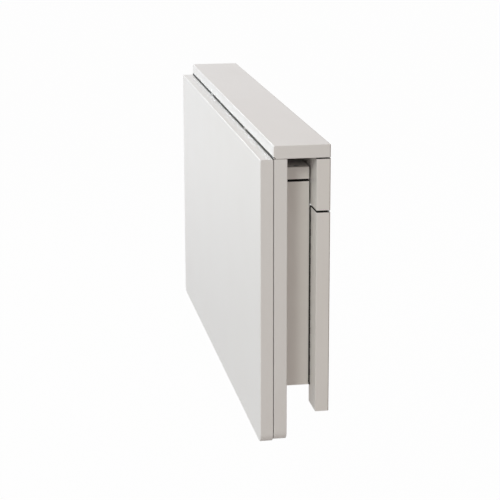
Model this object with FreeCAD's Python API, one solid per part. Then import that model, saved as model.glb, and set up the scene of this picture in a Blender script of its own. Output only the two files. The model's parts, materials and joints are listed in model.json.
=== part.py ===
import FreeCAD, Part
import os

os.makedirs("parts", exist_ok=True)

# Wall-mounted folding desk, folded. All lengths are in millimetres.
# X runs along the wall with its zero in the middle of the desk, Y = 0 is the wall and -Y is the
# front, and Z = 0 is the line of wall screws along the middle of the back rail.

# The desk as a whole
desk_width = 800.0          # left end to right end
folded_height = 420.0       # top of the top panel to the bottom of the outer leaf
board = 18.0                # thickness of the top panel, the leaves and the gates' boards
wall_board = 19.0           # thickness of the rail and the posts
arris = 1.0                 # rounding of the edges that hands and eyes meet
fine_arris = 0.7            # rounding of the edges at joints
leaf_corner = 13.0          # rounding of the leaves' lower corners

# Back rail and posts
rail_height = 72.0
panel_rail_gap = 0.9        # open joint between the top panel and the rail
post_width = 45.0
post_length = 283.8
rail_post_gap = 2.4         # open joint between the rail and each post

# Swing gates that hold the leaf up
gate_width = 35.0           # front to back
bar_height = 17.0           # gate's top rail, top to bottom
stile_length = 292.8
bar_gap = 3.0               # open joint between the gate's top rail and its stiles
gate_post_gap = 1.3         # gate's back to the post's front
gate_axis_inset = 38.0      # desk's end to the gate's hinge line
gate_side_gap = 0.5         # gate's end to the hinge line
gate_middle_gap = 3.0       # between the two gates
rest_pad_height = 1.1       # pad on the gate's top that the raised leaf rests on
rest_pad_radius = 6.0
rest_pad_inset = 30.0       # gate's far end to its pad
gate_rest_gap = 0.3         # pad's top to the underside of the raised leaf

# Leaves
leaf_gate_room = 3.7        # gate's front to the hanging leaf's back
leaf_setback = 1.0          # top panel's front to the inner leaf's front
leaf_gap = 1.0              # between the two leaves
seam = 0.4                  # top panel's underside to the inner leaf's top
outer_drop = 0.2            # inner leaf's top to the outer leaf's top
axis_setback = 0.5          # top panel's front back to the top hinges' axis
axis_rise = 0.4             # top panel's underside up to the top hinges' axis
fold_gap = 1.0              # between the two leaves' edges when they lie flat
pin_drop = 1.6              # inner leaf's bottom down to the fold axis

# Butt hinges between the leaves
hinge_length = 50.0
plate_width = 15.0          # hinge axis to the plate's edge
plate_thick = 1.2
plate_corner = 2.0
knuckle_radius = 1.5
knuckle_count = 5
pin_radius = 0.7
pin_head_radius = 1.2
pin_head_height = 0.6
hinge_screw_offset = 9.0    # hinge axis to the row of screws
hinge_screw_pitch = 16.0
hinge_screw_count = 3       # in each plate
fold_hinge_inset = 235.0    # desk's end to the middle of each fold hinge

# Long strip hinges of the gates and, in three lengths, of the inner leaf
strip_top_room = 1.2        # post's top to the hinge's upper end
strip_foot_room = 3.5       # gate's bottom to the hinge's lower end
strip_plate_width = 12.0
strip_plate_thick = 0.9
strip_plate_corner = 1.5
strip_knuckle_pitch = 10.0  # rounded so that a hinge has an odd number of knuckles
strip_screw_offset = 6.6
strip_screw_pitch = 46.0
strip_screw_inset = 16.0    # least length from a hinge's end to its first screw, past the foot dowels
gate_knuckle_radius = 1.3
gate_pin_radius = 0.6
gate_head_height = 3.2      # fills the slot's ends, up to the rail
top_knuckle_radius = 1.15
top_pin_radius = 0.45
top_head_height = 0.5
strip_head_extra = 0.35     # head's radius over the pin's
top_strip_inset = 2.5       # desk's end to the outer lengths' ends
top_break = 20.0            # between two lengths
top_break_inset = 235.0     # desk's end to the middle of each break

# Running room in both kinds of hinge
knuckle_gap = 0.4           # end play between knuckles
knuckle_clear = 0.3         # other plate's edge to a knuckle
running_fit = 0.05          # pin in its knuckles, on the radius

# Screws and dowels
hinge_screw_radius = 1.5
hinge_screw_length = 14.0
hinge_head_radius = 2.8
gate_screw_radius = 2.0
gate_screw_length = 50.0
gate_head_radius = 4.0
slot_width = 0.7            # cross recess in a screw's head
slot_depth = 0.8
dowel_radius = 3.0
dowel_length = 30.0
dowel_in_board = 12.0       # depth of a dowel in the board that it enters across the grain
dowel_chamfer = 0.8
dowel_offset = 10.5         # gate's middle line to each dowel of a pair
dowel_end_room = 0.5        # spare depth at each end of a dowel's hole
panel_dowel_count = 6
panel_dowel_inset = 60.0    # desk's end to the first dowel
snug_fit = 0.05             # screws, dowels, plates and discs in their holes
pocket_clear = 0.3          # room around a hinge's knuckles in the boards

# Joining plates between the rail and the posts
joining_width = 36.0
joining_height = 60.0
joining_thick = 2.0
joining_screw_inset = 9.0   # plate's end to its outer screw
joining_screw_pitch = 12.0

# Magnetic catches between the leaves
magnet_radius = 5.0
magnet_depth = 4.0
strike_depth = 2.0
catch_inset = 60.0          # desk's end to the catch
catch_drop = 45.0           # leaves' tops to the catch

# Holes for the wall screws
wall_hole_radius = 2.75
wall_head_radius = 5.5
wall_hole_pitch = 200.0
wall_hole_count = 4
post_hole_inset = 14.0      # desk's end to the posts' holes, clear of the gates' hinges
post_hole_drop = 45.0       # post's top to its upper hole
post_hole_rise = 25.0       # post's bottom to its lower hole

overrun = 2.0               # how far a cutting shape runs past what it cuts

# Places worked out from the sizes, front to back
post_front = -wall_board
gate_back = post_front - gate_post_gap
gate_front = gate_back - gate_width
inner_back = gate_front - leaf_gate_room
inner_front = inner_back - board
panel_front = inner_front - leaf_setback
outer_back = inner_front - leaf_gap
outer_front = outer_back - board
hinge_y = panel_front + axis_setback
fold_y = (inner_front + outer_back) / 2
gate_middle_y = (gate_back + gate_front) / 2
gate_axis_y = (post_front + gate_back) / 2

# Places worked out from the sizes, top to bottom
rail_top = rail_height / 2
rail_bottom = -rail_height / 2
panel_under = rail_top + panel_rail_gap
panel_top = panel_under + board
post_top = rail_bottom - rail_post_gap
post_bottom = post_top - post_length
inner_top = panel_under - seam
outer_top = inner_top - outer_drop
hinge_z = panel_under + axis_rise
outer_bottom = panel_top - folded_height
fold_z = outer_bottom + pin_drop - fold_gap
inner_bottom = fold_z + pin_drop
raised_underside = hinge_z - (inner_back - hinge_y)
gate_top = raised_underside - gate_rest_gap - rest_pad_height
bar_bottom = gate_top - bar_height
stile_top = bar_bottom - bar_gap
gate_bottom = stile_top - stile_length
strip_top = post_top - strip_top_room
strip_foot = gate_bottom + strip_foot_room
strip_length = strip_top - strip_foot
strip_z = (strip_top + strip_foot) / 2

# Places worked out from the sizes, along the wall
half_width = desk_width / 2
post_inner = half_width - post_width
post_middle = half_width - post_width / 2
post_hole_x = half_width - post_hole_inset
gate_axis_x = half_width - gate_axis_inset
sides = {"left": -1, "right": 1}


def vec(x, y, z):
    return FreeCAD.Vector(x, y, z)


along_x, along_y, along_z = vec(1, 0, 0), vec(0, 1, 0), vec(0, 0, 1)


def block(x_ends, y_ends, z_ends):
    low = vec(min(x_ends), min(y_ends), min(z_ends))
    size = vec(max(x_ends), max(y_ends), max(z_ends)) - low
    return Part.makeBox(size.x, size.y, size.z, low)


def eased(shape, radius):
    return shape.makeFillet(radius, shape.Edges)


def turned(shape, origin, u, v):
    """Copy of a shape with its x, y and z laid along u, v and u x v."""
    w = u.cross(v)
    matrix = FreeCAD.Matrix(u.x, v.x, w.x, origin.x,
                            u.y, v.y, w.y, origin.y,
                            u.z, v.z, w.z, origin.z,
                            0, 0, 0, 1)
    copy = shape.copy()
    copy.Placement = FreeCAD.Placement(matrix)
    return copy


def rod(radius, start, direction, length):
    return Part.makeCylinder(radius, length, start, direction)


def less(shape, tools):
    return shape.cut(tools) if tools else shape


# Screws and dowels

def screw(start, direction, radius, head_radius, length):
    """Countersunk wood screw, its head flush at the start."""
    head_height = head_radius - radius
    tip_height = 2 * radius
    head = Part.makeCone(head_radius, radius, head_height, start, direction)
    shank = rod(radius, start, direction, length - tip_height)
    tip = Part.makeCone(radius, slot_width / 2, tip_height,
                        start + direction * (length - tip_height), direction)
    body = head.fuse([shank, tip])
    cross = direction.cross(along_x if abs(direction.x) < abs(direction.z) else along_z)
    if cross.Length == 0:
        cross = direction.cross(along_x)
    other = direction.cross(cross)
    bar = Part.makeBox(head_radius, slot_width, slot_depth,
                       vec(-head_radius / 2, -slot_width / 2, 0))
    slots = [turned(bar, start, cross, other), turned(bar, start, other, -cross)]
    return body.cut(slots)


def screw_hole(start, direction, radius, head_radius, length):
    """Room for a screw: a countersink and a hole that stops past its tip."""
    sink = head_radius - radius
    cone = Part.makeCone(head_radius + snug_fit, radius + snug_fit, sink, start, direction)
    hole = rod(radius + snug_fit, start, direction, length + snug_fit)
    return cone.fuse(hole)


def dowel(start, direction):
    """Dowel whose middle part is in a joint, with the start at the end in the thin board."""
    pin = rod(dowel_radius, start, direction, dowel_length)
    rims = [edge for edge in pin.Edges if edge.Closed]
    return pin.makeChamfer(dowel_chamfer, rims)


def dowel_hole(start, direction):
    ahead = start - direction * dowel_end_room
    return rod(dowel_radius + snug_fit, ahead, direction, dowel_length + 2 * dowel_end_room)


# Hinges

butt = {
    "length": hinge_length, "plate_width": plate_width, "plate_thick": plate_thick,
    "plate_corner": plate_corner, "knuckle_radius": knuckle_radius, "knuckle_count": knuckle_count,
    "pin_radius": pin_radius, "head_radius": pin_head_radius, "head_height": pin_head_height,
    "screw_offset": hinge_screw_offset, "screw_pitch": hinge_screw_pitch,
    "screw_count": hinge_screw_count}


def strip(length, barrel_radius, wire_radius, head_height):
    """Pattern of a strip hinge, its knuckles and screws counted from its length."""
    pairs = int(length / (2 * strip_knuckle_pitch))
    spaces = int((length - 2 * strip_screw_inset) / strip_screw_pitch)
    return {
        "length": length, "plate_width": strip_plate_width, "plate_thick": strip_plate_thick,
        "plate_corner": strip_plate_corner, "knuckle_radius": barrel_radius,
        "knuckle_count": 2 * pairs + 1, "pin_radius": wire_radius,
        "head_radius": wire_radius + strip_head_extra, "head_height": head_height,
        "screw_offset": strip_screw_offset, "screw_pitch": strip_screw_pitch,
        "screw_count": spaces + 1}


class Hinge:
    """Hinge of one pattern, with each plate given by the way it runs and the way its board lies."""

    def __init__(self, pattern, middle, first, second):
        self.pattern = pattern
        self.middle = middle
        self.first = first
        self.second = second
        self.half = pattern["length"] / 2

    def screw_steps(self):
        count = self.pattern["screw_count"]
        return [(index - (count - 1) / 2) * self.pattern["screw_pitch"] for index in range(count)]

    def plate(self, run, into, face_gap, own):
        """Plate with its knuckles and screw holes. The face gap is axis to board face."""
        sizes = self.pattern
        shape = Part.makeBox(sizes["plate_width"], sizes["plate_thick"], sizes["length"],
                             vec(0, face_gap, -self.half))
        far = [edge for edge in shape.Edges
               if edge.BoundBox.XMin > sizes["plate_width"] / 2
               and edge.BoundBox.ZLength < sizes["plate_thick"]]
        shape = shape.makeFillet(sizes["plate_corner"], far)
        pitch = sizes["length"] / sizes["knuckle_count"]
        foreign = []
        knuckles = []
        for index in range(sizes["knuckle_count"]):
            low = -self.half + index * pitch
            if index % 2 == own:
                knuckles.append(rod(sizes["knuckle_radius"], vec(0, 0, low + knuckle_gap / 2),
                                    along_z, pitch - knuckle_gap))
            else:
                foreign.append(rod(sizes["knuckle_radius"] + knuckle_clear, vec(0, 0, low), along_z,
                                   pitch))
        shape = shape.cut(foreign).fuse(knuckles)
        bore = rod(sizes["pin_radius"] + running_fit, vec(0, 0, -self.half - overrun), along_z,
                   sizes["length"] + 2 * overrun)
        sinks = [screw_hole(vec(sizes["screw_offset"], face_gap, step), along_y,
                            hinge_screw_radius, hinge_head_radius, hinge_screw_length)
                 for step in self.screw_steps()]
        shape = shape.cut([bore] + sinks).removeSplitter()
        return turned(shape, self.middle, run, into)

    def first_plate(self):
        return self.plate(*self.first, 0)

    def second_plate(self):
        return self.plate(*self.second, 1)

    def pin(self):
        run, into, _ = self.first
        sizes = self.pattern
        shaft = rod(sizes["pin_radius"], vec(0, 0, -self.half), along_z, sizes["length"])
        heads = [rod(sizes["head_radius"], vec(0, 0, self.half), along_z, sizes["head_height"]),
                 rod(sizes["head_radius"], vec(0, 0, -self.half), -along_z, sizes["head_height"])]
        return turned(shaft.fuse(heads), self.middle, run, into)

    def knuckle_room(self):
        run, into, _ = self.first
        reach = self.half + self.pattern["head_height"] + pocket_clear
        room = rod(self.pattern["knuckle_radius"] + pocket_clear, vec(0, 0, -reach), along_z,
                   2 * reach)
        return turned(room, self.middle, run, into)

    def pocket(self, run, into, face_gap):
        """What a board loses to its plate, the plate's screws and the knuckles."""
        sizes = self.pattern
        length = sizes["length"] + 2 * snug_fit
        low = min(face_gap, 0)
        bed = Part.makeBox(sizes["plate_width"] + snug_fit + sizes["knuckle_radius"],
                           face_gap + sizes["plate_thick"] - low, length,
                           vec(-sizes["knuckle_radius"], low, -length / 2))
        holes = [screw_hole(start, into, hinge_screw_radius, hinge_head_radius, hinge_screw_length)
                 for start in self.screw_starts(run, into, face_gap)]
        return [turned(bed, self.middle, run, into), self.knuckle_room()] + holes

    def screw_starts(self, run, into, face_gap):
        row = run.cross(into)
        return [self.middle + run * self.pattern["screw_offset"] + into * face_gap + row * step
                for step in self.screw_steps()]

    def screws(self, run, into, face_gap):
        return [screw(start, into, hinge_screw_radius, hinge_head_radius, hinge_screw_length)
                for start in self.screw_starts(run, into, face_gap)]


def top_hinge(left_end, right_end):
    middle = vec((left_end + right_end) / 2, hinge_y, hinge_z)
    pattern = strip(right_end - left_end, top_knuckle_radius, top_pin_radius, top_head_height)
    return Hinge(pattern, middle, (along_y, along_z, -axis_rise),
                 (along_y, -along_z, axis_rise + seam))


def fold_hinge(side):
    middle = vec(side * (half_width - fold_hinge_inset), fold_y, fold_z)
    return Hinge(butt, middle, (along_z, along_y, leaf_gap / 2), (along_z, -along_y, leaf_gap / 2))


def gate_hinge(side):
    """The axis is at the gate's end, halfway between the post's front and the gate's back."""
    middle = vec(side * gate_axis_x, gate_axis_y, strip_z)
    pattern = strip(strip_length, gate_knuckle_radius, gate_pin_radius, gate_head_height)
    return Hinge(pattern, middle, (along_x * side, along_y, gate_post_gap / 2),
                 (along_x * -side, -along_y, gate_post_gap / 2))


strip_end = half_width - top_strip_inset
break_outer = half_width - top_break_inset + top_break / 2
break_inner = break_outer - top_break
top_hinges = {
    "left": top_hinge(-strip_end, -break_outer),
    "middle": top_hinge(-break_inner, break_inner),
    "right": top_hinge(break_outer, strip_end),
}
fold_hinges = {name: fold_hinge(side) for name, side in sides.items()}
gate_hinges = {name: gate_hinge(side) for name, side in sides.items()}


# Fixed frame: top panel, back rail, posts and what joins them

def panel_dowel_starts():
    run = desk_width - 2 * panel_dowel_inset
    step = run / (panel_dowel_count - 1)
    return [vec(-run / 2 + index * step, post_front / 2, panel_under + dowel_in_board)
            for index in range(panel_dowel_count)]


def top_panel():
    shape = block((-half_width, half_width), (panel_front, 0), (panel_under, panel_top))
    upright = [edge for edge in shape.Edges if edge.BoundBox.ZLength > board / 2]
    shape = shape.makeFillet(arris, upright)
    upper = [edge for edge in shape.Edges if edge.BoundBox.ZMin > panel_top - arris]
    shape = shape.makeFillet(arris, upper)
    lower = [edge for edge in shape.Edges if edge.BoundBox.ZMax < panel_under + arris]
    shape = shape.makeFillet(fine_arris, lower)
    tools = [dowel_hole(start, -along_z) for start in panel_dowel_starts()]
    for hinge in top_hinges.values():
        tools += hinge.pocket(*hinge.first)
    return less(shape, tools)


def wall_hole(x, z):
    """Countersunk hole from the front face to the wall."""
    sink = wall_head_radius - wall_hole_radius
    cone = Part.makeCone(wall_head_radius, wall_hole_radius, sink, vec(x, post_front, z), along_y)
    return cone.fuse(rod(wall_hole_radius, vec(x, post_front, z), along_y, wall_board))


def joining_middle(side):
    return vec(side * post_middle, 0, (rail_bottom + post_top) / 2)


def joining_screw_starts(side):
    middle = joining_middle(side)
    outer = joining_height / 2 - joining_screw_inset
    return [middle + along_z * (way * drop)
            for way in (-1, 1) for drop in (outer, outer - joining_screw_pitch)]


def joining_hole(start):
    return screw_hole(start, -along_y, hinge_screw_radius, hinge_head_radius, hinge_screw_length)


def joining_plate(side, fit=0.0):
    """Flat steel plate let into the backs of the rail and the post."""
    middle = joining_middle(side)
    half = joining_width / 2 + fit
    reach = joining_height / 2 + fit
    return block((middle.x - half, middle.x + half), (-joining_thick, 0),
                 (middle.z - reach, middle.z + reach))


def joining_tools(side):
    holes = [joining_hole(start) for start in joining_screw_starts(side)]
    return [joining_plate(side, snug_fit)] + holes


def drilled_plate(side):
    return joining_plate(side).cut([joining_hole(start) for start in joining_screw_starts(side)])


def back_rail():
    shape = eased(block((-half_width, half_width), (post_front, 0), (rail_bottom, rail_top)),
                  fine_arris)
    first = -wall_hole_pitch * (wall_hole_count - 1) / 2
    tools = [wall_hole(first + index * wall_hole_pitch, 0) for index in range(wall_hole_count)]
    tools += [dowel_hole(start, -along_z) for start in panel_dowel_starts()]
    for side in sides.values():
        tools += joining_tools(side)
    return less(shape, tools)


def post(name):
    side = sides[name]
    shape = eased(block((side * post_inner, side * half_width), (post_front, 0),
                        (post_bottom, post_top)), fine_arris)
    tools = [wall_hole(side * post_hole_x, height)
             for height in (post_top - post_hole_drop, post_bottom + post_hole_rise)]
    tools += joining_tools(side)
    tools += gate_hinges[name].pocket(*gate_hinges[name].first)
    return less(shape, tools)


# Leaves

def leaf(y_ends, bottom, top):
    """Board with rounded lower corners and eased front and back edges."""
    shape = block((-half_width, half_width), y_ends, (bottom, top))
    corners = [edge for edge in shape.Edges
               if edge.BoundBox.YLength > board / 2 and edge.BoundBox.ZMax < bottom + leaf_corner]
    shape = shape.makeFillet(leaf_corner, corners)
    rims = [edge for edge in shape.Edges if edge.BoundBox.YLength < board / 2]
    return shape.makeFillet(arris, rims)


def catch_disc(name, face, into, radius, depth):
    start = vec(sides[name] * (half_width - catch_inset), face, inner_top - catch_drop)
    return rod(radius, start, into, depth)


def magnet(name, fit=0.0):
    return catch_disc(name, inner_front, along_y, magnet_radius + fit, magnet_depth)


def strike(name, fit=0.0):
    return catch_disc(name, outer_back, -along_y, magnet_radius + fit, strike_depth)


def inner_leaf():
    tools = []
    for hinge in top_hinges.values():
        tools += hinge.pocket(*hinge.second)
    for name in sides:
        tools += fold_hinges[name].pocket(*fold_hinges[name].first)
        tools.append(magnet(name, snug_fit))
    return less(leaf((inner_back, inner_front), inner_bottom, inner_top), tools)


def outer_leaf():
    tools = []
    for name in sides:
        tools += fold_hinges[name].pocket(*fold_hinges[name].second)
        tools.append(strike(name, snug_fit))
    return less(leaf((outer_front, outer_back), outer_bottom, outer_top), tools)


# Gates

class Gate:
    """Frame of four boards that swings out under the raised leaf."""

    def __init__(self, name):
        self.name = name
        self.side = sides[name]
        self.near = self.side * (gate_axis_x - gate_side_gap)
        self.far = self.side * gate_middle_gap / 2
        self.near_inside = self.near - self.side * board
        self.far_inside = self.far + self.side * board
        self.depth = (gate_front, gate_back)
        self.hinge = gate_hinges[name]
        stile_middles = [(self.near + self.near_inside) / 2, (self.far + self.far_inside) / 2]
        self.pairs = [gate_middle_y - dowel_offset, gate_middle_y + dowel_offset]
        self.top_dowels = [vec(x, y, bar_bottom + dowel_in_board)
                           for x in stile_middles for y in self.pairs]
        self.screw_starts = [vec(x, gate_middle_y, gate_top) for x in stile_middles]
        foot = gate_bottom + board / 2
        inward = along_x * -self.side
        self.foot_dowels = [(vec(x, y, foot) - way * dowel_in_board, way)
                            for x, way in ((self.near_inside, inward), (self.far_inside, -inward))
                            for y in self.pairs]

    def tools(self):
        holes = [dowel_hole(start, -along_z) for start in self.top_dowels]
        holes += [dowel_hole(start, way) for start, way in self.foot_dowels]
        holes += [screw_hole(start, -along_z, gate_screw_radius, gate_head_radius,
                             gate_screw_length) for start in self.screw_starts]
        return holes + self.hinge.pocket(*self.hinge.second)

    def board(self, x_ends, z_ends):
        return less(eased(block(x_ends, self.depth, z_ends), fine_arris), self.tools())

    def top_rail(self):
        return self.board((self.near, self.far), (bar_bottom, gate_top))

    def hinge_stile(self):
        return self.board((self.near, self.near_inside), (gate_bottom, stile_top))

    def end_stile(self):
        return self.board((self.far_inside, self.far), (gate_bottom, stile_top))

    def bottom_rail(self):
        return self.board((self.near_inside, self.far_inside), (gate_bottom, gate_bottom + board))

    def dowels(self):
        top = [dowel(start, -along_z) for start in self.top_dowels]
        return top + [dowel(start, way) for start, way in self.foot_dowels]

    def screws(self):
        return [screw(start, -along_z, gate_screw_radius, gate_head_radius, gate_screw_length)
                for start in self.screw_starts]

    def hinge_screws(self):
        return self.hinge.screws(*self.hinge.second)

    def rest_pad(self):
        start = vec(self.far + self.side * rest_pad_inset, gate_middle_y, gate_top)
        return rod(rest_pad_radius, start, along_z, rest_pad_height)


# Every piece under its own name

pieces = {
    "top_panel": top_panel(),
    "back_rail": back_rail(),
    "leaf_inner": inner_leaf(),
    "leaf_outer": outer_leaf(),
}
groups = {
    "panel_dowels": [dowel(start, -along_z) for start in panel_dowel_starts()],
    "joining_screws": [],
    "panel_hinge_screws": [],
    "post_hinge_screws": [],
    "inner_leaf_screws": [],
    "outer_leaf_screws": [],
}

for name, side in sides.items():
    pieces["post_" + name] = post(name)
    pieces["joining_plate_" + name] = drilled_plate(side)
    groups["joining_screws"] += [
        screw(start, -along_y, hinge_screw_radius, hinge_head_radius, hinge_screw_length)
        for start in joining_screw_starts(side)]
    pieces["catch_magnet_" + name] = magnet(name)
    pieces["catch_strike_" + name] = strike(name)

    fold = fold_hinges[name]
    pieces["fold_hinge_" + name + "_inner_plate"] = fold.first_plate()
    pieces["fold_hinge_" + name + "_outer_plate"] = fold.second_plate()
    pieces["fold_hinge_" + name + "_pin"] = fold.pin()
    groups["inner_leaf_screws"] += fold.screws(*fold.first)
    groups["outer_leaf_screws"] += fold.screws(*fold.second)

    gate = Gate(name)
    prefix = "gate_" + name
    pieces[prefix + "_top_rail"] = gate.top_rail()
    pieces[prefix + "_hinge_stile"] = gate.hinge_stile()
    pieces[prefix + "_end_stile"] = gate.end_stile()
    pieces[prefix + "_bottom_rail"] = gate.bottom_rail()
    groups[prefix + "_dowels"] = gate.dowels()
    groups[prefix + "_screws"] = gate.screws()
    groups[prefix + "_hinge_screws"] = gate.hinge_screws()
    pieces[prefix + "_hinge_post_plate"] = gate.hinge.first_plate()
    pieces[prefix + "_hinge_gate_plate"] = gate.hinge.second_plate()
    pieces[prefix + "_hinge_pin"] = gate.hinge.pin()
    pieces[prefix + "_rest_pad"] = gate.rest_pad()
    groups["post_hinge_screws"] += gate.hinge.screws(*gate.hinge.first)

for name, top in top_hinges.items():
    pieces["top_hinge_" + name + "_panel_plate"] = top.first_plate()
    pieces["top_hinge_" + name + "_leaf_plate"] = top.second_plate()
    pieces["top_hinge_" + name + "_pin"] = top.pin()
    groups["panel_hinge_screws"] += top.screws(*top.first)
    groups["inner_leaf_screws"] += top.screws(*top.second)

for name, solids in groups.items():
    pieces[name] = Part.makeCompound(solids)

for name, shape in pieces.items():
    if not shape.isValid():
        raise ValueError(name + " is not a valid solid")
    shape.exportStep("parts/" + name + ".step")

print(len(pieces), "pieces written")
for name in ("top_panel", "back_rail", "leaf_inner", "leaf_outer", "gate_left_top_rail"):
    box = pieces[name].BoundBox
    print(name, [round(value, 2) for value in (box.XMin, box.XMax, box.YMin, box.YMax,
                                               box.ZMin, box.ZMax)])
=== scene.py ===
import json
import math
import bmesh
import bpy
from mathutils import Matrix, Vector


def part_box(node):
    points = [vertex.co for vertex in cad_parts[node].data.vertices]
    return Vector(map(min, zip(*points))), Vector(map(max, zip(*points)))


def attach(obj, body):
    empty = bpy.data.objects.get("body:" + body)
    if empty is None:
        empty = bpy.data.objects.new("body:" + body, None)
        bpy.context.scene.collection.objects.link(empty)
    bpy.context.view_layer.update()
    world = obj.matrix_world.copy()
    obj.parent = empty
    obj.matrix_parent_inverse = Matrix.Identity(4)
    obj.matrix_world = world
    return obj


# Wall desk, folded, seen from its right-hand end. Metres, in the CAD's own frame: X along the wall,
# the wall at Y = 0 with the front towards -Y, Z up from the line of wall screws.

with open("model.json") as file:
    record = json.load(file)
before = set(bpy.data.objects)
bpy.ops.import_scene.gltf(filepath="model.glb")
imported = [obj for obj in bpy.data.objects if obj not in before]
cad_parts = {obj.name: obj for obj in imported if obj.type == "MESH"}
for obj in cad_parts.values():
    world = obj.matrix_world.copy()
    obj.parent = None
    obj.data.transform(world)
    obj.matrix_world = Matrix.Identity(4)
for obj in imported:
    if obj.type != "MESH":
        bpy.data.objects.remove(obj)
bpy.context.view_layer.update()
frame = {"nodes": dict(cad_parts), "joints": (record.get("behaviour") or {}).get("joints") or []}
nodes = frame["nodes"]


# Small helpers for node trees

def addNode(tree, kind, **settings):
    node = tree.nodes.new(kind)
    for setting, value in settings.items():
        setattr(node, setting, value)
    return node


def setInput(tree, socket, value):
    if isinstance(value, bpy.types.NodeSocket):
        tree.links.new(value, socket)
    else:
        socket.default_value = value


def math2(tree, operation, first, second=0.0):
    node = addNode(tree, "ShaderNodeMath", operation=operation)
    setInput(tree, node.inputs[0], first)
    setInput(tree, node.inputs[1], second)
    return node.outputs[0]


def product(tree, first, *others):
    for other in others:
        first = math2(tree, "MULTIPLY", first, other)
    return first


def spread(tree, value, low, high, newLow=0.0, newHigh=1.0):
    node = addNode(tree, "ShaderNodeMapRange")
    for label, entry in (("Value", value), ("From Min", low), ("From Max", high),
                         ("To Min", newLow), ("To Max", newHigh)):
        setInput(tree, node.inputs[label], entry)
    return node.outputs["Result"]


def fade(tree, mask, first, second):
    return spread(tree, mask, 0.0, 1.0, first, second)


def mixColors(tree, share, first, second):
    node = addNode(tree, "ShaderNodeMix", data_type="RGBA")
    for index, value in ((0, share), (6, first), (7, second)):
        setInput(tree, node.inputs[index], value)
    return node.outputs[2]


def objectPlace(tree):
    return addNode(tree, "ShaderNodeTexCoord").outputs["Object"]


def placeParts(tree):
    split = addNode(tree, "ShaderNodeSeparateXYZ")
    tree.links.new(objectPlace(tree), split.inputs[0])
    return split.outputs


def noise(tree, place, scale, detail=2.0, roughness=0.5):
    node = addNode(tree, "ShaderNodeTexNoise")
    for label, value in (("Vector", place), ("Scale", scale), ("Detail", detail), ("Roughness", roughness)):
        setInput(tree, node.inputs[label], value)
    return node.outputs["Fac"]


def newGroup(name, inputs, outputs):
    tree = bpy.data.node_groups.new(name, "ShaderNodeTree")
    for label, kind, value in inputs:
        socket = tree.interface.new_socket(name=label, in_out="INPUT", socket_type=kind)
        socket.default_value = value
    for label, kind in outputs:
        tree.interface.new_socket(name=label, in_out="OUTPUT", socket_type=kind)
    return tree, addNode(tree, "NodeGroupInput").outputs, addNode(tree, "NodeGroupOutput").inputs


def useGroup(tree, group, **values):
    node = addNode(tree, "ShaderNodeGroup")
    node.node_tree = group
    for label, value in values.items():
        setInput(tree, node.inputs[label], value)
    return node.outputs


floatKind, vectorKind = "NodeSocketFloat", "NodeSocketVector"


# Effects that several finishes share

wearShape = {
    "samples": 6,
    "flat": 0.995,             # cosine between the rounded and the true normal where wear begins
    "edge": 0.86,              # and where it is full
    "patchDetail": 3.0,
    "patchLow": 0.38,
    "patchHigh": 0.62,
}


def buildEdgeWear():
    tree, given, result = newGroup(
        "edgeWear",
        [("Reach", floatKind, 0.001), ("Patchiness", floatKind, 180.0), ("Amount", floatKind, 0.5)],
        [("Mask", floatKind)])
    rounded = addNode(tree, "ShaderNodeBevel", samples=wearShape["samples"])
    tree.links.new(given["Reach"], rounded.inputs["Radius"])
    dot = addNode(tree, "ShaderNodeVectorMath", operation="DOT_PRODUCT")
    tree.links.new(rounded.outputs["Normal"], dot.inputs[0])
    tree.links.new(addNode(tree, "ShaderNodeNewGeometry").outputs["Normal"], dot.inputs[1])
    edge = spread(tree, dot.outputs["Value"], wearShape["flat"], wearShape["edge"])
    patches = spread(tree, noise(tree, objectPlace(tree), given["Patchiness"], wearShape["patchDetail"]),
                     wearShape["patchLow"], wearShape["patchHigh"])
    tree.links.new(product(tree, edge, patches, given["Amount"]), result["Mask"])
    return tree


smudgeShape = {
    "broadDetail": 3.0,
    "broadRoughness": 0.55,
    "broadShare": 0.75,
    "fineness": 23.0,          # fine smudges against the broad ones
    "fineShare": 0.25,
    "low": 0.3,
    "high": 0.7,
}


def buildSmudges():
    tree, given, result = newGroup(
        "handSmudges",
        [("Size", floatKind, 14.0), ("Base", floatKind, 0.3), ("Swing", floatKind, 0.06)],
        [("Roughness", floatKind)])
    place = objectPlace(tree)
    broad = noise(tree, place, given["Size"], smudgeShape["broadDetail"], smudgeShape["broadRoughness"])
    fine = noise(tree, place, math2(tree, "MULTIPLY", given["Size"], smudgeShape["fineness"]))
    both = math2(tree, "ADD", math2(tree, "MULTIPLY", broad, smudgeShape["broadShare"]),
                 math2(tree, "MULTIPLY", fine, smudgeShape["fineShare"]))
    level = spread(tree, both, smudgeShape["low"], smudgeShape["high"], -1.0, 1.0)
    swing = math2(tree, "MULTIPLY", level, given["Swing"])
    tree.links.new(math2(tree, "ADD", given["Base"], swing), result["Roughness"])
    return tree


streakShape = {
    "detail": 4.0,
    "roughness": 0.6,
}


def buildStreaks():
    tree, given, result = newGroup(
        "drawnStreaks",
        [("Stretch", vectorKind, (1.0, 1.0, 1.0)), ("Size", floatKind, 2500.0)],
        [("Height", floatKind)])
    pulled = addNode(tree, "ShaderNodeVectorMath", operation="MULTIPLY")
    tree.links.new(objectPlace(tree), pulled.inputs[0])
    tree.links.new(given["Stretch"], pulled.inputs[1])
    lines = noise(tree, pulled.outputs["Vector"], given["Size"], streakShape["detail"],
                  streakShape["roughness"])
    tree.links.new(lines, result["Height"])
    return tree


# Band between two heights, over one length on either side of the middle

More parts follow.
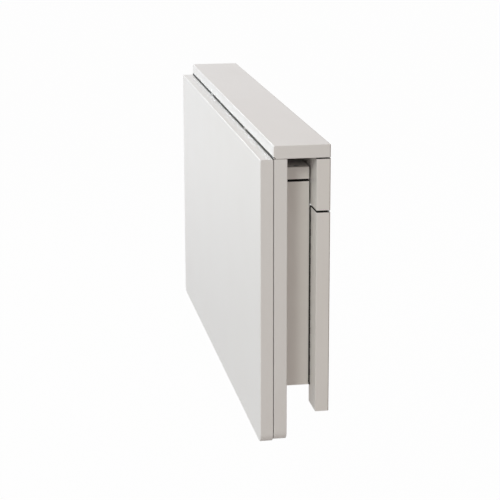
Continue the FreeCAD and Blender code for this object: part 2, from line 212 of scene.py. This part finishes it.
def buildJointShade():
    tree, given, result = newGroup(
        "jointShade",
        [("Low", floatKind, 0.0), ("High", floatKind, 0.001), ("Blur", floatKind, 0.0002),
         ("Inner", floatKind, 0.0), ("Outer", floatKind, 1.0)],
        [("Mask", floatKind)])
    parts = placeParts(tree)
    side = math2(tree, "ABSOLUTE", parts["X"])
    above = spread(tree, parts["Z"], math2(tree, "SUBTRACT", given["Low"], given["Blur"]), given["Low"])
    below = spread(tree, parts["Z"], given["High"], math2(tree, "ADD", given["High"], given["Blur"]),
                   1.0, 0.0)
    along = math2(tree, "MULTIPLY", math2(tree, "GREATER_THAN", side, given["Inner"]),
                  math2(tree, "LESS_THAN", side, given["Outer"]))
    tree.links.new(product(tree, above, below, along), result["Mask"])
    return tree


# Ring about an axis along X

def buildGrooveShade():
    tree, given, result = newGroup(
        "grooveShade",
        [("Across", floatKind, 0.0), ("Up", floatKind, 0.0), ("Near", floatKind, 0.001),
         ("Far", floatKind, 0.0014)],
        [("Mask", floatKind)])
    parts = placeParts(tree)
    across = math2(tree, "SUBTRACT", parts["Y"], given["Across"])
    up = math2(tree, "SUBTRACT", parts["Z"], given["Up"])
    squares = math2(tree, "ADD", math2(tree, "MULTIPLY", across, across), math2(tree, "MULTIPLY", up, up))
    away = math2(tree, "SQRT", squares)
    tree.links.new(math2(tree, "MULTIPLY", math2(tree, "GREATER_THAN", away, given["Near"]),
                         math2(tree, "LESS_THAN", away, given["Far"])), result["Mask"])
    return tree


# Strip on an upright corner that faces the wall, on either side of the middle

def buildCornerShade():
    tree, given, result = newGroup(
        "cornerShade",
        [("Side", floatKind, 0.3), ("Back", floatKind, 0.0), ("Low", floatKind, 0.0)],
        [("Mask", floatKind)])
    parts = placeParts(tree)
    beside = math2(tree, "GREATER_THAN", math2(tree, "ABSOLUTE", parts["X"]), given["Side"])
    behind = math2(tree, "GREATER_THAN", parts["Y"], given["Back"])
    above = math2(tree, "GREATER_THAN", parts["Z"], given["Low"])
    tree.links.new(product(tree, beside, behind, above), result["Mask"])
    return tree


edgeWear = buildEdgeWear()
smudges = buildSmudges()
streaks = buildStreaks()
jointShade = buildJointShade()
grooveShade = buildGrooveShade()
cornerShade = buildCornerShade()
print("built the shared effects")


# Painted shade in the open joints, read from the CAD boxes: each is the height between two boards, over the
# lower one's length

paintedShade = {
    "color": (0.012, 0.011, 0.010, 1),    # near-black painted shade where shadow falls in the open joints, the hinge groove and the gates' corner
    "roughness": 0.9,
    "rim": 0.00015,            # how far the painted shade runs out of a joint
    "panelRim": 0.0008,        # the same between the rail and the top panel
    "endRoom": 0.0001,
    "grooveNear": 0.00135,     # ring about the top hinge's axis, past its knuckles
    "grooveFar": 0.0023,
    "cornerSide": 0.001,       # the gates' corner beside the rail, on their ends
    "cornerBack": 0.0011,      # and on their backs
}


def jointBetween(lower, upper, rim=paintedShade["rim"]):
    low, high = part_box(lower)
    return {"Low": high.z - rim, "High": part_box(upper)[0].z + rim, "Inner": max(low.x, 0.0),
            "Outer": high.x + paintedShade["endRoom"]}


joints = {
    "frame": [jointBetween("post_right", "back_rail"),
              jointBetween("back_rail", "top_panel", paintedShade["panelRim"])],
    "gate": [jointBetween("gate_right_hinge_stile", "gate_right_top_rail"),
             jointBetween("gate_right_end_stile", "gate_right_top_rail")],
}
topHinge = next(joint["pos_m"] for joint in frame["joints"] if joint["name"] == "leaf_lift")
hingeGroove = {"Across": topHinge[1], "Up": topHinge[2], "Near": paintedShade["grooveNear"],
               "Far": paintedShade["grooveFar"]}
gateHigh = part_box("gate_right_top_rail")[1]
gateCorner = {"Side": gateHigh.x - paintedShade["cornerSide"], "Back": gateHigh.y - paintedShade["cornerBack"],
              "Low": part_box("back_rail")[0].z}


def jointMasks(tree, places):
    return [useGroup(tree, jointShade, **place)["Mask"] for place in places]


# Mixes the painted shade into colour and roughness under each mask
def paintShade(tree, masks, color, rough):
    for mask in masks:
        color = mixColors(tree, mask, color, paintedShade["color"])
        rough = fade(tree, mask, rough, paintedShade["roughness"])
    return color, rough


# Finishes

def newMaterial(name):
    material = bpy.data.materials.new(name)
    material.use_nodes = True
    tree = material.node_tree
    return material, tree, tree.nodes["Principled BSDF"]


def smudged(tree, look):
    return useGroup(tree, smudges, Size=look["smudgeSize"], Base=look["roughness"],
                    Swing=look["swing"])["Roughness"]


def dress(tree, shader, color, rough, layers):
    tree.links.new(color, shader.inputs["Base Color"])
    tree.links.new(rough, shader.inputs["Roughness"])
    normal = None
    for height, distance, strength in layers:
        bump = addNode(tree, "ShaderNodeBump")
        bump.inputs["Distance"].default_value = distance
        bump.inputs["Strength"].default_value = strength
        tree.links.new(height, bump.inputs["Height"])
        if normal is not None:
            tree.links.new(normal, bump.inputs["Normal"])
        normal = bump.outputs["Normal"]
    tree.links.new(normal, shader.inputs["Normal"])


plainLook = {
    "color": (0.86, 0.86, 0.855, 1),
    "tint": (0.83, 0.815, 0.80, 1),
    "roughness": 0.33,
    "smudgeSize": 9.0,
    "swing": 0.04,             # of the roughness
    "joints": [],
    "grooves": [],
    "corners": [],
    "shadedRawBack": False,          # whether the wall side takes a painted shade in bare-board colour
}
lacquerLooks = {
    "leafLacquer": plainLook,
    "panelLacquer": {**plainLook, "roughness": 0.31, "grooves": [hingeGroove], "shadedRawBack": True},
    # the frame and gate copies are darker and warmer: partly board tone, partly painted shade of the
    # recessed rail, posts and gates
    "frameLacquer": {**plainLook, "color": (0.86, 0.855, 0.84, 1), "tint": (0.82, 0.80, 0.77, 1),
                     "roughness": 0.31, "joints": joints["frame"], "shadedRawBack": True},
    "gateLacquer": {**plainLook, "color": (0.84, 0.82, 0.79, 1), "tint": (0.80, 0.77, 0.73, 1),
                    "swing": 0.05, "joints": joints["gate"], "corners": [gateCorner]},
}
lacquerSurface = {
    "peelScale": 620.0,        # orange peel, about 2 mm from crest to crest
    "peelDetail": 1.5,
    "peelDepth": 0.00004,
    "peelStrength": 0.6,
    "waveScale": 26.0,         # slow waves of the sprayed board
    "waveDetail": 1.0,
    "waveDepth": 0.0005,
    "waveStrength": 0.35,
    "tintScale": 5.0,
    "tintDetail": 4.0,
    "tintRoughness": 0.6,
    "tintLow": 0.35,
    "tintHigh": 0.68,
    "tintShare": 0.35,
    "wearReach": 0.0009,
    "wearPatches": 160.0,
    "wearColor": (0.62, 0.56, 0.48, 1),   # board showing through where the lacquer is thin
    "wearAmount": 0.16,
    "backDepth": 0.0013,       # the painted shade reaches this far from the wall
    "backColor": (0.33, 0.28, 0.23, 1),
    "backFibre": (0.22, 0.18, 0.14, 1),
    "backRoughness": 0.85,
    "fibreScale": 700.0,
    "fibreDetail": 5.0,
    "fibreRoughness": 0.7,
    "fibreLow": 0.4,
    "fibreHigh": 0.65,
}


# Painted shade along the back edge, drawn as bare board with fibre
def rawBoardShade(tree, place, color, rough):
    depth = lacquerSurface["backDepth"]
    share = spread(tree, placeParts(tree)["Y"], -depth, -depth / 2)
    grain = noise(tree, place, lacquerSurface["fibreScale"], lacquerSurface["fibreDetail"],
                  lacquerSurface["fibreRoughness"])
    fibre = spread(tree, grain, lacquerSurface["fibreLow"], lacquerSurface["fibreHigh"])
    bare = mixColors(tree, fibre, lacquerSurface["backColor"], lacquerSurface["backFibre"])
    return mixColors(tree, share, color, bare), fade(tree, share, rough, lacquerSurface["backRoughness"])


def makeLacquer(name, look):
    material, tree, shader = newMaterial(name)
    place = objectPlace(tree)
    cloud = noise(tree, place, lacquerSurface["tintScale"], lacquerSurface["tintDetail"],
                  lacquerSurface["tintRoughness"])
    cloud = spread(tree, cloud, lacquerSurface["tintLow"], lacquerSurface["tintHigh"])
    share = math2(tree, "MULTIPLY", cloud, lacquerSurface["tintShare"])
    color = mixColors(tree, share, look["color"], look["tint"])
    worn = useGroup(tree, edgeWear, Reach=lacquerSurface["wearReach"],
                    Patchiness=lacquerSurface["wearPatches"], Amount=lacquerSurface["wearAmount"])["Mask"]
    color = mixColors(tree, worn, color, lacquerSurface["wearColor"])
    # painted shade in the joints, the top hinge's groove and the gates' corner beside the rail
    masks = jointMasks(tree, look["joints"])
    masks += [useGroup(tree, grooveShade, **groove)["Mask"] for groove in look["grooves"]]
    masks += [useGroup(tree, cornerShade, **corner)["Mask"] for corner in look["corners"]]
    color, rough = paintShade(tree, masks, color, smudged(tree, look))
    # painted shade along the wall side
    if look["shadedRawBack"]:
        color, rough = rawBoardShade(tree, place, color, rough)
    peel = noise(tree, place, lacquerSurface["peelScale"], lacquerSurface["peelDetail"])
    wave = noise(tree, place, lacquerSurface["waveScale"], lacquerSurface["waveDetail"])
    dress(tree, shader, color, rough,
          [(wave, lacquerSurface["waveDepth"], lacquerSurface["waveStrength"]),
           (peel, lacquerSurface["peelDepth"], lacquerSurface["peelStrength"])])
    return material


plainSteel = {
    "metallic": 1.0,
    "streakSize": 2600.0,
    "streakLow": 0.3,
    "streakHigh": 0.7,
    "streakShare": 0.25,
    "streakDepth": 0.00003,
    "streakStrength": 0.5,
    "wearReach": 0.0004,
    "wearPatches": 500.0,
    "wear": 0.5,
    "smudgeSize": 60.0,
    "swing": 0.08,
    "joints": [],
}
steelLooks = {
    "satinNickel": {**plainSteel, "color": (0.63, 0.62, 0.60, 1), "bright": (0.80, 0.79, 0.77, 1),
                    "roughness": 0.30, "stretch": (0.02, 1, 1), "wear": 0.6},
    # the zinc screws take painted shade where they cross the gates' open joints
    "zincPlate": {**plainSteel, "color": (0.58, 0.60, 0.62, 1), "bright": (0.78, 0.79, 0.80, 1),
                  "roughness": 0.36, "stretch": (1, 1, 0.15), "joints": joints["gate"]},
    "magnetNickel": {**plainSteel, "color": (0.72, 0.71, 0.68, 1), "bright": (0.86, 0.85, 0.82, 1),
                     "roughness": 0.16, "stretch": (1, 1, 1)},
}


def makeSteel(name, look):
    material, tree, shader = newMaterial(name)
    lines = useGroup(tree, streaks, Stretch=look["stretch"], Size=look["streakSize"])["Height"]
    worn = useGroup(tree, edgeWear, Reach=look["wearReach"], Patchiness=look["wearPatches"],
                    Amount=look["wear"])["Mask"]
    drift = math2(tree, "MULTIPLY", spread(tree, lines, look["streakLow"], look["streakHigh"]),
                  look["streakShare"])
    color = mixColors(tree, drift, look["color"], look["bright"])
    color = mixColors(tree, worn, color, look["bright"])
    color, rough = paintShade(tree, jointMasks(tree, look["joints"]), color, smudged(tree, look))
    shader.inputs["Metallic"].default_value = look["metallic"]
    dress(tree, shader, color, rough, [(lines, look["streakDepth"], look["streakStrength"])])
    return material


# Black coat on the top and gate hinges, partly a finish and partly painted shade: the black barrels stand
# in for the shadow in the gaps they sit in
blackCoat = {
    "color": (0.028, 0.026, 0.025, 1),
    "steel": (0.20, 0.195, 0.19, 1),      # where the coat is worn through
    "wearReach": 0.0004,
    "wearPatches": 700.0,
    "wear": 0.15,
    "wornMetal": 0.9,
    "roughness": 0.62,
    "smudgeSize": 80.0,
    "swing": 0.07,
    "specular": 0.25,
    "grainScale": 3200.0,      # powder grain, about 0.3 mm
    "grainDepth": 0.00005,
    "grainStrength": 0.7,
    "paintStart": 0.00015,     # in front of the post, where its lacquer over a plate begins
    "paintFull": 0.00005,      # and where it hides the plate
}


def makeBlackCoat(name, paintedFace=None):
    material, tree, shader = newMaterial(name)
    worn = useGroup(tree, edgeWear, Reach=blackCoat["wearReach"], Patchiness=blackCoat["wearPatches"],
                    Amount=blackCoat["wear"])["Mask"]
    color = mixColors(tree, worn, blackCoat["color"], blackCoat["steel"])
    metal = math2(tree, "MULTIPLY", worn, blackCoat["wornMetal"])
    rough = smudged(tree, blackCoat)
    if paintedFace is not None:
        painted = spread(tree, placeParts(tree)["Y"], paintedFace - blackCoat["paintStart"],
                         paintedFace - blackCoat["paintFull"])
        color = mixColors(tree, painted, color, lacquerLooks["frameLacquer"]["color"])
        metal = fade(tree, painted, metal, 0.0)
        rough = fade(tree, painted, rough, lacquerLooks["frameLacquer"]["roughness"])
    tree.links.new(metal, shader.inputs["Metallic"])
    shader.inputs["Specular IOR Level"].default_value = blackCoat["specular"]
    grain = noise(tree, objectPlace(tree), blackCoat["grainScale"])
    dress(tree, shader, color, rough, [(grain, blackCoat["grainDepth"], blackCoat["grainStrength"])])
    return material


beech = {
    "pale": (0.72, 0.55, 0.36, 1),
    "dark": (0.50, 0.34, 0.19, 1),
    "stretch": (1, 1, 0.06),   # grain along the dowels
    "fleckScale": 900.0,
    "fleckLow": 0.42,
    "fleckHigh": 0.66,
    "fleckDepth": 0.0001,
    "fleckStrength": 0.5,
    "roughness": 0.62,
    "smudgeSize": 120.0,
    "swing": 0.08,
}


def makeBeech():
    material, tree, shader = newMaterial("beech")
    grain = useGroup(tree, streaks, Stretch=beech["stretch"], Size=beech["fleckScale"])["Height"]
    fleck = spread(tree, grain, beech["fleckLow"], beech["fleckHigh"])
    color = mixColors(tree, fleck, beech["pale"], beech["dark"])
    # painted shade on the dowels where they show in the gates' open joints
    for mask in jointMasks(tree, joints["gate"]):
        color = mixColors(tree, mask, color, paintedShade["color"])
    dress(tree, shader, color, smudged(tree, beech), [(grain, beech["fleckDepth"], beech["fleckStrength"])])
    return material


capPlastic = {
    "color": (0.84, 0.84, 0.83, 1),
    "tint": (0.80, 0.79, 0.76, 1),
    "cloudScale": 160.0,
    "cloudDetail": 2.0,
    "cloudRoughness": 0.5,
    "cloudLow": 0.35,
    "cloudHigh": 0.7,
    "cloudShare": 0.5,
    "roughness": 0.42,
    "smudgeSize": 90.0,
    "swing": 0.05,
    "grainScale": 2200.0,      # fine spark texture of the mould
    "grainDetail": 2.0,
    "grainDepth": 0.00003,
    "grainStrength": 0.5,
}
padSurface = {
    "color": (0.050, 0.049, 0.047, 1),
    "tint": (0.16, 0.155, 0.145, 1),      # dust
    "cloudScale": 240.0,
    "cloudDetail": 4.0,
    "cloudRoughness": 0.6,
    "cloudLow": 0.45,
    "cloudHigh": 0.75,
    "cloudShare": 0.6,
    "roughness": 0.68,
    "smudgeSize": 140.0,
    "swing": 0.06,
    "grainScale": 1500.0,
    "grainDetail": 3.0,
    "grainDepth": 0.00006,
    "grainStrength": 0.6,
}


def makeMoulded(name, look):
    material, tree, shader = newMaterial(name)
    place = objectPlace(tree)
    cloud = noise(tree, place, look["cloudScale"], look["cloudDetail"], look["cloudRoughness"])
    cloud = spread(tree, cloud, look["cloudLow"], look["cloudHigh"], 0.0, look["cloudShare"])
    grain = noise(tree, place, look["grainScale"], look["grainDetail"])
    dress(tree, shader, mixColors(tree, cloud, look["color"], look["tint"]), smudged(tree, look),
          [(grain, look["grainDepth"], look["grainStrength"])])
    return material


lacquers = {name: makeLacquer(name, look) for name, look in lacquerLooks.items()}
steels = {name: makeSteel(name, look) for name, look in steelLooks.items()}
blackSteel = makeBlackCoat("blackCoat")
postPlateSteel = makeBlackCoat("postPlatePaint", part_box("post_left")[0].y)
dowelWood = makeBeech()
whiteCap = makeMoulded("capPlastic", capPlastic)
padRubber = makeMoulded("padRubber", padSurface)
print("made", len(bpy.data.materials), "materials")


# Which finish each CAD node takes

def finishFor(name):
    if name.endswith("_dowels"):
        return dowelWood
    if name.startswith("catch_magnet"):
        return steels["magnetNickel"]
    if name.endswith("_post_plate"):
        return postPlateSteel   # let in flush and lacquered with the post, its knuckles left black
    if name == "post_hinge_screws":
        return lacquers["frameLacquer"]
    if name.endswith("screws") or name.startswith(("joining_plate", "catch_strike")):
        return steels["zincPlate"]
    if name.startswith("fold_hinge"):
        return steels["satinNickel"]
    if name.startswith(("gate_", "top_hinge")) and name.endswith(("_plate", "_pin")):
        return blackSteel
    if name.endswith("_rest_pad"):
        return padRubber
    if name.startswith("gate_"):
        return lacquers["gateLacquer"]
    if name == "top_panel":
        return lacquers["panelLacquer"]
    if name.startswith("leaf_"):
        return lacquers["leafLacquer"]
    return lacquers["frameLacquer"]


for name, node in nodes.items():
    node.data.materials.clear()
    node.data.materials.append(finishFor(name))
print("finished the CAD nodes")


# White caps over the wall holes

wallCap = {
    "radius": 0.0053,          # fills the countersink
    "dome": 0.0004,            # proud of the board in the middle
    "domeSteps": (0, 0.2, 0.4, 0.6, 0.8),
    "rim": 0.0004,             # rounding where the cap meets the board
    "rimLift": 0.12,           # share of the dome left at the rim
    "rimBulge": 0.3,
    "headDepth": 0.0022,
    "neck": 0.0004,            # slope from the head to the stem
    "stemRadius": 0.0024,
    "stemLength": 0.009,
    "stemTip": 0.0008,
    "turns": 40,
    "weld": 0.00001,
}


def capProfile():
    radius, dome, rim = wallCap["radius"], wallCap["dome"], wallCap["rim"]
    head, stem, neck = wallCap["headDepth"], wallCap["stemRadius"], wallCap["neck"]
    bulge = rim * wallCap["rimBulge"]
    end, tip = -wallCap["stemLength"], wallCap["stemTip"]
    points = [(radius * share, dome * (1 - share * share)) for share in wallCap["domeSteps"]]
    points += [(radius - rim, dome * wallCap["rimLift"]), (radius - bulge, -bulge), (radius, -rim)]
    points += [(stem + neck, -head), (stem, -head - neck)]
    points += [(stem, end + tip), (stem - tip, end), (0, end)]
    return points


def makeCap(name, x, z, faceY):
    build = bmesh.new()
    line = [build.verts.new((out, 0, along)) for out, along in capProfile()]
    edges = [build.edges.new(pair) for pair in zip(line, line[1:])]
    bmesh.ops.spin(build, geom=line + edges, cent=(0, 0, 0), axis=(0, 0, 1), angle=2 * math.pi,
                   steps=wallCap["turns"], use_duplicate=False)
    bmesh.ops.remove_doubles(build, verts=build.verts, dist=wallCap["weld"])
    bmesh.ops.recalc_face_normals(build, faces=build.faces)
    mesh = bpy.data.meshes.new(name)
    build.to_mesh(mesh)
    build.free()
    mesh.transform(Matrix.Translation((x, faceY, z)) @ Matrix.Rotation(math.radians(90), 4, "X"))
    for face in mesh.polygons:
        face.use_smooth = True
    mesh.materials.append(whiteCap)
    cap = bpy.data.objects.new(name, mesh)
    bpy.context.scene.collection.objects.link(cap)
    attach(cap, "root")


capPlaces = {
    "rail": (-0.3, -0.1, 0.1, 0.3),
    "inset": 0.014,            # on the posts, from the desk's end
    "upperDrop": 0.045,        # from the post's top
    "lowerRise": 0.025,        # from the post's bottom
}
railLow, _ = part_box("back_rail")
for number, x in enumerate(capPlaces["rail"]):
    makeCap("rail_cap_%d" % (number + 1), x, 0, railLow.y)
for side, way in (("left", -1), ("right", 1)):
    low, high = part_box("post_" + side)
    x = way * (max(abs(low.x), abs(high.x)) - capPlaces["inset"])
    makeCap("post_cap_%s_upper" % side, x, high.z - capPlaces["upperDrop"], low.y)
    makeCap("post_cap_%s_lower" % side, x, low.z + capPlaces["lowerRise"], low.y)
print("fitted the wall caps")


# Floor, light and camera

floor = {
    "height": -0.695,          # desk top 75 cm above it
    "reach": 40.0,
    "color": (0.52, 0.50, 0.48, 1),
    "roughness": 0.7,
    "whiteness": 0.98,         # share of plain white that the camera sees
    "nearReach": 1.3,          # gloss sees the floor darker up to here, a painted shade as under the desk, and white from the far reach on
    "farReach": 3.4,
    "nearShadedGloss": 0.59,
    "farGloss": 0.97,
}


def makeFloor():
    build = bmesh.new()
    bmesh.ops.create_grid(build, x_segments=2, y_segments=2, size=floor["reach"])
    mesh = bpy.data.meshes.new("floor")
    build.to_mesh(mesh)
    build.free()
    ground = bpy.data.objects.new("floor", mesh)
    ground.location = (0, 0, floor["height"])
    bpy.context.scene.collection.objects.link(ground)
    material, tree, shader = newMaterial("paleFloor")
    shader.inputs["Base Color"].default_value = floor["color"]
    shader.inputs["Roughness"].default_value = floor["roughness"]
    glow = addNode(tree, "ShaderNodeEmission")
    ray = addNode(tree, "ShaderNodeLightPath").outputs
    away = addNode(tree, "ShaderNodeVectorMath", operation="LENGTH")
    tree.links.new(objectPlace(tree), away.inputs[0])
    # painted shade on the floor near the desk, seen only in reflections
    mirrored = spread(tree, away.outputs["Value"], floor["nearReach"], floor["farReach"],
                      floor["nearShadedGloss"], floor["farGloss"])
    dimmed = math2(tree, "MULTIPLY", math2(tree, "SUBTRACT", mirrored, 1.0), ray["Is Glossy Ray"])
    tree.links.new(math2(tree, "ADD", dimmed, 1.0), glow.inputs["Strength"])
    seen = math2(tree, "MAXIMUM", ray["Is Camera Ray"], ray["Is Transmission Ray"])
    seen = math2(tree, "MULTIPLY", seen, floor["whiteness"])
    blend = addNode(tree, "ShaderNodeMixShader")
    tree.links.new(math2(tree, "MAXIMUM", seen, ray["Is Glossy Ray"]), blend.inputs[0])
    tree.links.new(shader.outputs[0], blend.inputs[1])
    tree.links.new(glow.outputs[0], blend.inputs[2])
    under = addNode(tree, "ShaderNodeBsdfTransparent")     # a view from below looks through it
    sided = addNode(tree, "ShaderNodeMixShader")
    tree.links.new(addNode(tree, "ShaderNodeNewGeometry").outputs["Backfacing"], sided.inputs[0])
    tree.links.new(blend.outputs[0], sided.inputs[1])
    tree.links.new(under.outputs[0], sided.inputs[2])
    tree.links.new(sided.outputs[0], tree.nodes["Material Output"].inputs["Surface"])
    mesh.materials.append(material)


makeFloor()

studio = {
    "ambientColor": (1.0, 0.86, 0.80, 1),
    "ambient": 0.445,
}


def makeWorld():
    world = bpy.data.worlds.new("studio")
    bpy.context.scene.world = world
    world.use_nodes = True
    tree = world.node_tree
    ambient = tree.nodes["Background"]
    ambient.inputs["Color"].default_value = studio["ambientColor"]
    ambient.inputs["Strength"].default_value = studio["ambient"]
    white = addNode(tree, "ShaderNodeBackground")
    white.inputs["Color"].default_value = (1, 1, 1, 1)
    ray = addNode(tree, "ShaderNodeLightPath").outputs
    seen = math2(tree, "MAXIMUM", ray["Is Camera Ray"], ray["Is Glossy Ray"])
    seen = math2(tree, "MAXIMUM", seen, ray["Is Transmission Ray"])
    blend = addNode(tree, "ShaderNodeMixShader")
    tree.links.new(seen, blend.inputs[0])
    tree.links.new(ambient.outputs[0], blend.inputs[1])
    tree.links.new(white.outputs[0], blend.inputs[2])
    tree.links.new(blend.outputs[0], tree.nodes["World Output"].inputs["Surface"])


makeWorld()

lamps = {
    "frontLamp": {"place": (-0.3, -2.4, 0.3), "aim": (0, 0, -0.1), "size": 1.4, "power": 15.5,
                  "color": (0.87, 0.95, 1.0)},
    "cornerLamp": {"place": (1.2, -2.0, 1.0), "aim": (0, 0, -0.1), "size": 1.2, "power": 5,
                   "color": (0.78, 0.95, 1.0)},
    "endLamp": {"place": (2.2, -1.25, 1.25), "aim": (0.2, 0, -0.1), "size": 0.8, "power": 16.5,
                "color": (0.97, 1.0, 0.95)},
    "farLamp": {"place": (-2.4, -0.8, 1.2), "aim": (0, 0, -0.1), "size": 1.2, "power": 22.5,
                "color": (0.86, 0.95, 1.0)},
}


def makeLamp(name, values):
    lamp = bpy.data.lights.new(name, "AREA")
    lamp.shape = "DISK"
    lamp.size = values["size"]
    lamp.energy = values["power"]
    lamp.color = values["color"]
    holder = bpy.data.objects.new(name, lamp)
    holder.location = values["place"]
    aim = Vector(values["aim"]) - holder.location
    holder.rotation_euler = aim.to_track_quat("-Z", "Y").to_euler()
    bpy.context.scene.collection.objects.link(holder)


for name, values in lamps.items():
    makeLamp(name, values)
print("lit the studio")

view = {
    "place": (2.52268, -0.46884, 0.46393),
    "aim": (0.4, -0.11015, -0.08622),
    "rollDegrees": -0.156,
    "lens": 118.73,            # millimetres, as the sensor's width is
    "sensor": 36,
    "nearClip": 0.05,
    "farClip": 200,
}


def makeCamera():
    lens = bpy.data.cameras.new("camera")
    lens.lens = view["lens"]
    lens.sensor_width = view["sensor"]
    lens.sensor_fit = "HORIZONTAL"
    lens.clip_start = view["nearClip"]
    lens.clip_end = view["farClip"]
    camera = bpy.data.objects.new("camera", lens)
    aim = Vector(view["aim"]) - Vector(view["place"])
    level = aim.to_track_quat("-Z", "Y").to_matrix().to_4x4()
    roll = Matrix.Rotation(math.radians(view["rollDegrees"]), 4, "Z")
    camera.matrix_world = Matrix.Translation(view["place"]) @ level @ roll
    bpy.context.scene.collection.objects.link(camera)
    bpy.context.scene.camera = camera


makeCamera()
bpy.context.scene.view_settings.view_transform = "Standard"
